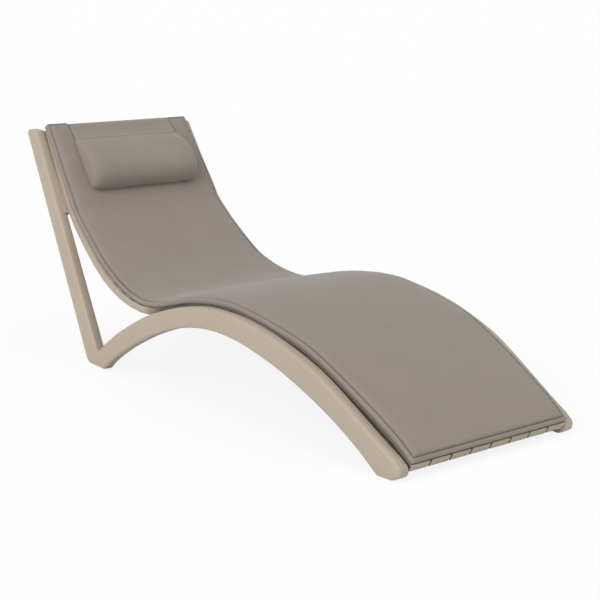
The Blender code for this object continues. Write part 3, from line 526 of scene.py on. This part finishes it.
for level in ("top", "base"):
    made = bmesh.ops.create_grid(pad_bm, x_segments=len(columns) - 1, y_segments=len(rows) - 1, size=1)
    for vertex in made["verts"]:
        i = round((vertex.co.x + 1) / 2 * (len(columns) - 1))
        j = round((vertex.co.y + 1) / 2 * (len(rows) - 1))
        ring = min(i, len(columns) - 1 - i, j, len(rows) - 1 - j)
        along = PAD_END_INSET + rows[j][0]
        fold = np.interp(along / SEAT_LENGTH, *np.array(PAD_FOLD_SHARES).T)
        drawn_in = np.interp(along / SEAT_LENGTH, *np.array(PAD_DRAWN_IN).T)
        side = panel_side(along) - PAD_SIDE_INSET - drawn_in
        near_side = min(columns[i][0], wide - columns[i][0])
        near_end = min(rows[j][0], pad_length - rows[j][0])
        if min(i, len(columns) - 1 - i) < PAD_TUCK:
            near_side *= fold * fold
        if min(j, len(rows) - 1 - j) < PAD_TUCK:
            near_end *= fold * fold
            along = PAD_END_INSET + (near_end if 2 * rows[j][0] < pad_length else pad_length - near_end)
        x = (side - near_side) if 2 * columns[i][0] > wide else (near_side - side)
        if len(PAD_EDGE) <= i < len(columns) - len(PAD_EDGE):
            x = (columns[i][0] - wide / 2) * (side - PAD_EDGE[-1][0]) / (wide / 2 - PAD_EDGE[-1][0])
        into_side, into_end = PAD_CORNER - near_side, PAD_CORNER - near_end
        if into_side > 0 and into_end > 0:
            pull = max(into_side, into_end) / (into_side ** 2 + into_end ** 2) ** 0.5
            x = (side - PAD_CORNER + into_side * pull) * (1 if x > 0 else -1)
            turn = PAD_CORNER - into_end * pull
            along = PAD_END_INSET + (turn if 2 * rows[j][0] < pad_length else pad_length - turn)
        if ring < len(PAD_EDGE):
            height = PAD_EDGE[ring][1] + (1 - fold) * GROOVE_FILL.get(abs(ring - PAD_SEAM), 0.0)
        else:
            crown = min(1.0, (min(near_side, near_end) - PAD_EDGE[-1][0]) / PAD_CROWN_REACH)
            height = PAD_EDGE[-1][1] + (PAD_MIDDLE - PAD_EDGE[-1][1]) * (1 - (1 - crown) ** 2)
        if level == "base":
            height = 0.0
        pocket = eased((abs(x) - POCKET_FROM) / (POCKET_FULL - POCKET_FROM)) * POCKET_SHARES[x > 0]
        from_head = pad_length + PAD_END_INSET - along
        if from_head < POCKET_INSETS[-1][0]:
            along += pocket * (from_head - np.interp(from_head, *np.array(POCKET_INSETS).T))
            drop = POCKET_DROP * eased((along - SEAT_LENGTH) / POCKET_DROP_OVER)
            height -= pocket * drop * eased(1 - height / PAD_EDGE[5][1])
        vertex.co = (x, along, PAD_LIFT + height)
        vertex[sewn] = 1.0 if ring <= PAD_SEAM or level == "base" else 0.0
        # Painted shade: the groove and the fold under the band are darkened, more where the cover folds deeper
        groove = GROOVE_SHADE.get(abs(ring - PAD_SEAM), 0.0) * (GROOVE_LEAST + (1 - GROOVE_LEAST) * fold)
        tuck = TUCK_SHADE.get(ring, 0.0) * fold * fold
        vertex[crease_shade] = max(groove, tuck) if level == "top" else 0.0
    if level == "base":
        bmesh.ops.reverse_faces(pad_bm, faces=[face for face in pad_bm.faces if face.verts[0] in made["verts"]])
bmesh.ops.remove_doubles(pad_bm, verts=pad_bm.verts, dist=MERGE)
bmesh.ops.recalc_face_normals(pad_bm, faces=pad_bm.faces)
pad = finished(pad_bm, "seat_cushion", pad_fabric, "lounger", ["seat_pad"], CLOTH_TURN)
held = np.zeros(len(pad.data.vertices), np.float32)
pad.data.attributes["sewn"].data.foreach_get("value", held)
pad.data.attributes.remove(pad.data.attributes["sewn"])
puffed(pad, held, PAD_PRESSURE, PAD_PUFF, PAD_EVENED)
subdivided(pad)
place_vertices(pad, on_seat(keep_flat(pad)))

# Holding band
# A band of dark webbing is sewn to the pad and hooked round the slats' head end, so the pad can't slide down.
BAND_COLOUR = (0.070, 0.063, 0.056)
BAND_HALF_WIDTH = 0.235
BAND_THICKNESS = 0.0016
BAND_PITCH = 0.0014
BAND_CLEARANCE = 0.0002
# How the band turns round the slats' lower edge: steps back from where it lies and up from where it runs on
BAND_TURN = ((0.0, 0.003), (0.0009, 0.0009), (0.003, 0.0))
BAND_CELLS = 40
BAND_RISE = -0.0045
BAND_TAIL = 0.062
SLAT_THICKNESS = 0.022
SIDE_EASE = 0.022
PLAY = 0.0003


def strip(name, path, half_width, cells, thickness, material, replaced):
    """A strip of cloth that follows a side-view path of distances along and heights over the slats.

    A third value in the path is the height at the strip's two sides, where that is another one.
    """
    path = np.array([[*row, row[-1]][:3] for row in path], float)
    steps = np.concatenate([[0.0], np.cumsum(np.hypot(*np.diff(path[:, :2], axis=0).T))])
    bm = bmesh.new()
    flat_layer = bm.verts.layers.float_vector.new("cloth")
    made = bmesh.ops.create_grid(bm, x_segments=cells, y_segments=len(path) - 1, size=1)
    for vertex in made["verts"]:
        row = round((vertex.co.y + 1) / 2 * (len(path) - 1))
        x = vertex.co.x * half_width
        vertex[flat_layer] = (x, steps[row], 0.0)
        along, middle, side = path[row]
        over = side + (middle - side) * eased((half_width - abs(x)) / SIDE_EASE)
        vertex.co = Vector(on_seat([(x, along, over)])[0])
    bmesh.ops.recalc_face_normals(bm, faces=bm.faces)
    piece = finished(bm, name, material, None, replaced, CLOTH_TURN)
    shell = piece.modifiers.new("thickness", "SOLIDIFY")
    shell.thickness = thickness
    shell.offset = 0.0
    shell.use_even_offset = True
    piece.data = evaluated(piece)
    piece.modifiers.clear()
    return piece, steps[-1]


webbing = woven_cloth("webbing", BAND_COLOUR, BAND_PITCH)
outside = PLAY + BAND_THICKNESS / 2 + BAND_CLEARANCE
under = -SLAT_THICKNESS - PLAY - BAND_THICKNESS / 2 - BAND_CLEARANCE
band_path = [(SEAT_LENGTH + outside, BAND_RISE), (SEAT_LENGTH + outside, under / 2)]
band_path += [(SEAT_LENGTH + outside - back, under + up) for back, up in BAND_TURN]
band_path += [(SEAT_LENGTH - BAND_TAIL / 2, under), (SEAT_LENGTH - BAND_TAIL, under)]
band, band_length = strip("holding_band", band_path, BAND_HALF_WIDTH, BAND_CELLS, BAND_THICKNESS, webbing,
                          ["pad_holding_band"])
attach(band, "lounger")

# Head pillow
# A half-round bolster of the pad's own cloth, filled with wadding. Its back is flat on the pad, its two ends
# are closed by a sewn-in panel, and it hangs from a flap that goes over the head end.
PILLOW_HALF_WIDTH = 0.206
PILLOW_HEIGHT = 0.209
PILLOW_DEPTH = 0.070
PILLOW_TOP_TO_HEAD = 0.056
# The pillow in side view, from the flap's seam to its lower edge: shares of half its height and of its depth
PILLOW_PROFILE_SHARES = (
    (1.0, 0.0), (0.965, 0.065), (0.82, 0.25), (0.62, 0.46), (0.36, 0.71), (0.08, 0.89),
    (-0.18, 0.98), (-0.42, 1.0), (-0.64, 0.93), (-0.82, 0.76), (-0.94, 0.50), (-0.995, 0.22), (-0.975, 0.0),
)
# How the side view shrinks towards an end: shares of half the width and of the full size
PILLOW_END_SHARES = (
    (1.0, 0.0), (1.0, 0.14), (1.0, 0.28), (1.0, 0.42), (1.0, 0.56), (0.999, 0.69), (0.996, 0.79),
    (0.989, 0.86), (0.980, 0.898), (0.972, 0.900), (0.964, 0.915), (0.950, 0.940), (0.925, 0.965),
    (0.890, 0.982), (0.850, 0.993), (0.800, 0.998), (0.750, 1.0),
)
PILLOW_SEAM = 9
PILLOW_CELLS = 30
PILLOW_SLACK = 0.003
PILLOW_INSET = 0.001
PILLOW_LIFT = 0.0012
PILLOW_PRESSURE = 4.0
PILLOW_EVENED = 12
PILLOW_PUFF = 0.0045
# What the simulation holds: all that is lower than this, and the end panel's seam to within this
PILLOW_HELD_HEIGHT = 0.003
SEAM_REACH = 0.0004
PILLOW_COLOUR = (0.264, 0.233, 0.202)

pillow_fabric = woven_cloth("pillow_fabric", PILLOW_COLOUR, THREAD_PITCH)
pillow_middle = SEAT_LENGTH - PILLOW_TOP_TO_HEAD - PILLOW_HEIGHT / 2
pillow_base = PAD_LIFT + PAD_MIDDLE + PILLOW_LIFT
last_share = PILLOW_END_SHARES[-1][0]
even_steps = [(-last_share + 2 * last_share * step / PILLOW_CELLS, 1.0) for step in range(1, PILLOW_CELLS)]
pillow_widths = [(-share, size) for share, size in PILLOW_END_SHARES] + even_steps + list(PILLOW_END_SHARES[::-1])
pillow_profile = smooth_line(PILLOW_PROFILE_SHARES, 3)
pillow_bm = bmesh.new()
for level in ("front", "back"):
    made = bmesh.ops.create_grid(pillow_bm, x_segments=len(pillow_widths) - 1,
                                 y_segments=len(pillow_profile) - 1, size=1)
    for vertex in made["verts"]:
        width, size = pillow_widths[round((vertex.co.x + 1) / 2 * (len(pillow_widths) - 1))]
        row = round((vertex.co.y + 1) / 2 * (len(pillow_profile) - 1))
        along, up = pillow_profile[row]
        if level == "back":
            along = np.interp(row, (0, len(pillow_profile) - 1), (pillow_profile[0][0], pillow_profile[-1][0]))
        over = max(up, 0.0) * size * (PILLOW_DEPTH - PILLOW_SLACK) if level == "front" else 0.0
        vertex.co = (width * (PILLOW_HALF_WIDTH - PILLOW_INSET),
                     pillow_middle + along * size * (PILLOW_HEIGHT / 2 - PILLOW_INSET), pillow_base + over)
bmesh.ops.remove_doubles(pillow_bm, verts=pillow_bm.verts, dist=MERGE)
bmesh.ops.recalc_face_normals(pillow_bm, faces=pillow_bm.faces)
pillow = finished(pillow_bm, "pillow", pillow_fabric, None, ["head_pillow"], CLOTH_TURN)
flat = np.array([vertex.co for vertex in pillow.data.vertices])
sewn_at = PILLOW_END_SHARES[PILLOW_SEAM][0] * (PILLOW_HALF_WIDTH - PILLOW_INSET)
held = (flat[:, 2] < pillow_base + PILLOW_HELD_HEIGHT) | (abs(abs(flat[:, 0]) - sewn_at) < SEAM_REACH)
puffed(pillow, held.astype(float), PILLOW_PRESSURE, PILLOW_PUFF, PILLOW_EVENED)
subdivided(pillow)
place_vertices(pillow, on_seat(keep_flat(pillow)))
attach(pillow, "pillow")

# Flap
# A single width of the same cloth, sewn to the pillow's top edge. It lies on the pad, goes over the head end
# and hangs behind the backrest, so the pillow is set higher or lower by sliding it.
FLAP_HALF_WIDTH = 0.199
FLAP_THICKNESS = 0.0018
FLAP_ROOM = 0.0025
FLAP_LIFT = 0.0055
# The flap's sewn end climbs onto the pillow: places past the pillow's top, and heights over its base in the middle
# and at the flap's sides, where the pillow is lower
FLAP_SEWN_ON = (
    (0.0180, 0.0158, 0.0063), (0.0140, 0.0136, 0.0042), (0.0100, 0.0113, 0.0033), (0.0060, 0.0085, 0.0031),
    (0.0020, 0.0061, 0.0031), (-0.0030, 0.0041, 0.0031), (-0.0090, 0.0031, 0.0031),
)
# How the flap goes over the head end: places from the slats' end, then from where it hangs, and heights
# over the pad's edge
FLAP_OVER_END = ((-0.0056, 0.0040), (-0.0018, 0.0016))
FLAP_PAST_END = ((-0.0022, -0.0014), (-0.0004, -0.0050), (0.0, -0.0100))
FLAP_DROP = 0.130
FLAP_CLEARANCE = 0.0006
FLAP_SLAT_GAP = 0.002
FLAP_CELLS = 46
FLAP_ROWS_ON_PAD = 12
# Where its rows on the pad start, short of the pillow's seam, and end, before the pad's edge
FLAP_OFF_PILLOW = 0.015
FLAP_OFF_EDGE = 0.0060
FLAP_TURN_STEP = 0.004
TAIL_ROWS = 18
# Where the flap ends and its tail starts, below the fold behind the head end
FLAP_ENDS = 0.0024
TAIL_STARTS = 0.0027
# The flap bulges over the pad, between two distances from the pad's end
FLAP_SWELL = 0.0028
FLAP_SWELL_FROM = 0.010
FLAP_EASED_OVER = 0.03

flap_fabric = woven_cloth("flap_fabric", PILLOW_COLOUR, THREAD_PITCH)


def over_pad(distance):
    """A point of the flap where it lies on the pad, at a distance from the pad's end."""
    rise = np.interp(distance, [inset for inset, _ in PAD_EDGE[4:]], [height for _, height in PAD_EDGE[4:]])
    if PAD_EDGE[6][0] < distance < PAD_EDGE[12][0]:
        rise = np.interp(distance, (PAD_EDGE[6][0], PAD_EDGE[12][0]), (PAD_EDGE[6][1], PAD_EDGE[12][1]))
    swell = (FLAP_SWELL * min(1.0, max(0.0, distance - FLAP_SWELL_FROM) / FLAP_EASED_OVER)
             + FLAP_LIFT * eased(1 - distance / FLAP_EASED_OVER))
    return SEAT_LENGTH - PAD_END_INSET - distance, PAD_LIFT + rise + swell + FLAP_ROOM / 2 + FLAP_CLEARANCE


def hanging(drop):
    """A point straight below the place where the flap leaves the head end, as along and over the slats."""
    ahead, up = seat_ahead[-1], seat_up[-1]
    return turn[0] - drop * ahead[1], turn[1] - drop * up[1]


past = 2 * PLAY + FLAP_SLAT_GAP + FLAP_ROOM / 2
turn = (SEAT_LENGTH + past, -SLAT_THICKNESS - FLAP_SLAT_GAP - FLAP_ROOM)
starts_at = PILLOW_TOP_TO_HEAD - PAD_END_INSET - FLAP_CLEARANCE
edge = PAD_LIFT + PAD_EDGE[4][1] + FLAP_ROOM / 2 + FLAP_LIFT
flap_path = [(SEAT_LENGTH - PILLOW_TOP_TO_HEAD - along, pillow_base + middle, pillow_base + side)
             for along, middle, side in FLAP_SEWN_ON]
flap_path += [over_pad(distance) for distance in np.linspace(starts_at - FLAP_OFF_PILLOW, FLAP_OFF_EDGE,
                                                             FLAP_ROWS_ON_PAD)]
flap_path += [(SEAT_LENGTH + along, edge + up) for along, up in FLAP_OVER_END]
flap_path += [(SEAT_LENGTH + past + along, edge + up) for along, up in FLAP_PAST_END]
flap_path += [(SEAT_LENGTH + past, 0.0), (SEAT_LENGTH + past, turn[1] / 2),
              (SEAT_LENGTH + past, turn[1] + FLAP_TURN_STEP), turn, hanging(FLAP_ENDS)]
flap, flap_length = strip("pillow_flap", flap_path, FLAP_HALF_WIDTH, FLAP_CELLS, FLAP_THICKNESS, flap_fabric,
                          ["pillow_flap_front", "pillow_flap_top"])
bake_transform(flap)

hang_path = [hanging(drop) for drop in np.linspace(TAIL_STARTS, FLAP_DROP, TAIL_ROWS)]
tail, tail_length = strip("flap_tail", hang_path, FLAP_HALF_WIDTH, FLAP_CELLS, FLAP_THICKNESS, flap_fabric,
                          ["pillow_flap_rear"])
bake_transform(tail)

# Weighted hem
# The flap's end is folded back and sewn into a pocket round a flat bar, whose weight balances the pillow.
HEM_HEIGHT = 0.045
HEM_THICKNESS = 0.020
HEM_EASE = 0.007
HEM_CUTS = 40

hem_bm = bmesh.new()
top_y, top_z = on_seat([(0, *hanging(FLAP_DROP + PLAY))])[0][1:]
bmesh.ops.create_cube(hem_bm, size=1, matrix=Matrix.Translation((0, top_y, top_z - HEM_HEIGHT / 2))
                      @ Matrix.Diagonal((2 * FLAP_HALF_WIDTH, HEM_THICKNESS, HEM_HEIGHT, 1)))
bmesh.ops.bevel(hem_bm, geom=hem_bm.edges[:], offset=HEM_EASE, offset_type="OFFSET", segments=4,
                profile=ROUND_PROFILE, affect="EDGES", clamp_overlap=True, material=-1)
long_edges = [edge for edge in hem_bm.edges
              if abs(edge.verts[0].co.x - edge.verts[1].co.x) > FLAP_HALF_WIDTH]
bmesh.ops.subdivide_edges(hem_bm, edges=long_edges, cuts=HEM_CUTS, use_grid_fill=True)
cloth_layer = hem_bm.verts.layers.float_vector.new("cloth")
for vertex in hem_bm.verts:
    vertex[cloth_layer] = (vertex.co.x, vertex.co.z + vertex.co.y, 0.0)
hem = finished(hem_bm, "weighted_hem", flap_fabric, "counterweight", ["pillow_counterweight"],
               CLOTH_TURN)

# Studio
# A plain white floor that keeps the lounger's shadow, an even white surround, and two broad soft lamps.
FLOOR_SIZE = 400.0
FLOOR_COLOUR = (0.97, 0.97, 0.97)
FLOOR_ROUGHNESS = 0.9
# How much of the floor is plain white to the camera, the rest being lit and in shadow
FLOOR_WHITE = 0.86
# How bright the surround is to the lounger, where it is 1 to the camera
SURROUND_LIGHT = 0.46
# Each lamp's direction, strength and spread in degrees
KEY_LAMP = ((-0.80, -0.32, 0.50), 1.8, 35)
TOP_LAMP = ((0.10, -0.20, 0.97), 0.75, 60)

floor_bm = bmesh.new()
bmesh.ops.create_grid(floor_bm, x_segments=1, y_segments=1, size=FLOOR_SIZE)
floor_mesh = bpy.data.meshes.new("floor")
floor_bm.to_mesh(floor_mesh)
floor_bm.free()
floor_paint = new_material("floor_paint", FLOOR_COLOUR, FLOOR_ROUGHNESS)
white = add_node(floor_paint, "ShaderNodeEmission", {"Color": (1, 1, 1, 1), "Strength": 1.0})
seen = add_node(floor_paint, "ShaderNodeLightPath").outputs["Is Camera Ray"]
share = add_node(floor_paint, "ShaderNodeMath", {1: FLOOR_WHITE}, {0: seen}, operation="MULTIPLY")
mixed = add_node(floor_paint, "ShaderNodeMixShader", {},
                 {0: share.outputs[0], 1: shader_of(floor_paint).outputs[0], 2: white.outputs[0]})
floor_paint.node_tree.links.new(mixed.outputs[0],
                                floor_paint.node_tree.nodes["Material Output"].inputs["Surface"])
floor_mesh.materials.append(floor_paint)
floor = bpy.data.objects.new("floor", floor_mesh)
bpy.context.scene.collection.objects.link(floor)

world = bpy.data.worlds.new("surround")
world.use_nodes = True
bpy.context.scene.world = world
rays = add_node(world, "ShaderNodeLightPath").outputs
seen = joined(world, "MAXIMUM", rays["Is Camera Ray"], rays["Is Glossy Ray"])
through = joined(world, "MAXIMUM", seen, rays["Is Transmission Ray"])
backdrop = world.node_tree.nodes["Background"]
backdrop.inputs["Color"].default_value = (1, 1, 1, 1)
world.node_tree.links.new(ranged(world, through, SURROUND_LIGHT, 1.0), backdrop.inputs["Strength"])


def soft_sun(name, direction, strength, spread):
    """An even lamp that shines from a direction, as soft as its spread in degrees."""
    lamp = bpy.data.lights.new(name, "SUN")
    lamp.energy, lamp.angle = strength, radians(spread)
    made = bpy.data.objects.new(name, lamp)
    bpy.context.scene.collection.objects.link(made)
    made.location = Vector(direction) * 4
    made.rotation_euler = Vector(direction).to_track_quat("Z", "Y").to_euler()


soft_sun("key_lamp", *KEY_LAMP)
soft_sun("top_lamp", *TOP_LAMP)

# Camera
# It stands where the photograph was taken, beyond the foot end on the -X side and a little above the lounger.
VIEW_LENS = 84.02
SENSOR_WIDTH = 36.0
CAMERA_PLACE = (-2.53343, -3.34300, 1.19144)
# Degrees that the camera looks down, and that it turns from +Y towards +X
CAMERA_DOWN = 12.5901
CAMERA_TURN = 38.4326

camera_data = bpy.data.cameras.new("camera")
camera_data.lens, camera_data.sensor_width = VIEW_LENS, SENSOR_WIDTH
camera = bpy.data.objects.new("camera", camera_data)
bpy.context.scene.collection.objects.link(camera)
camera.location = CAMERA_PLACE
camera.rotation_euler = (radians(90 - CAMERA_DOWN), 0, radians(-CAMERA_TURN))
bpy.context.scene.camera = camera
bpy.context.scene.view_settings.view_transform = "Standard"
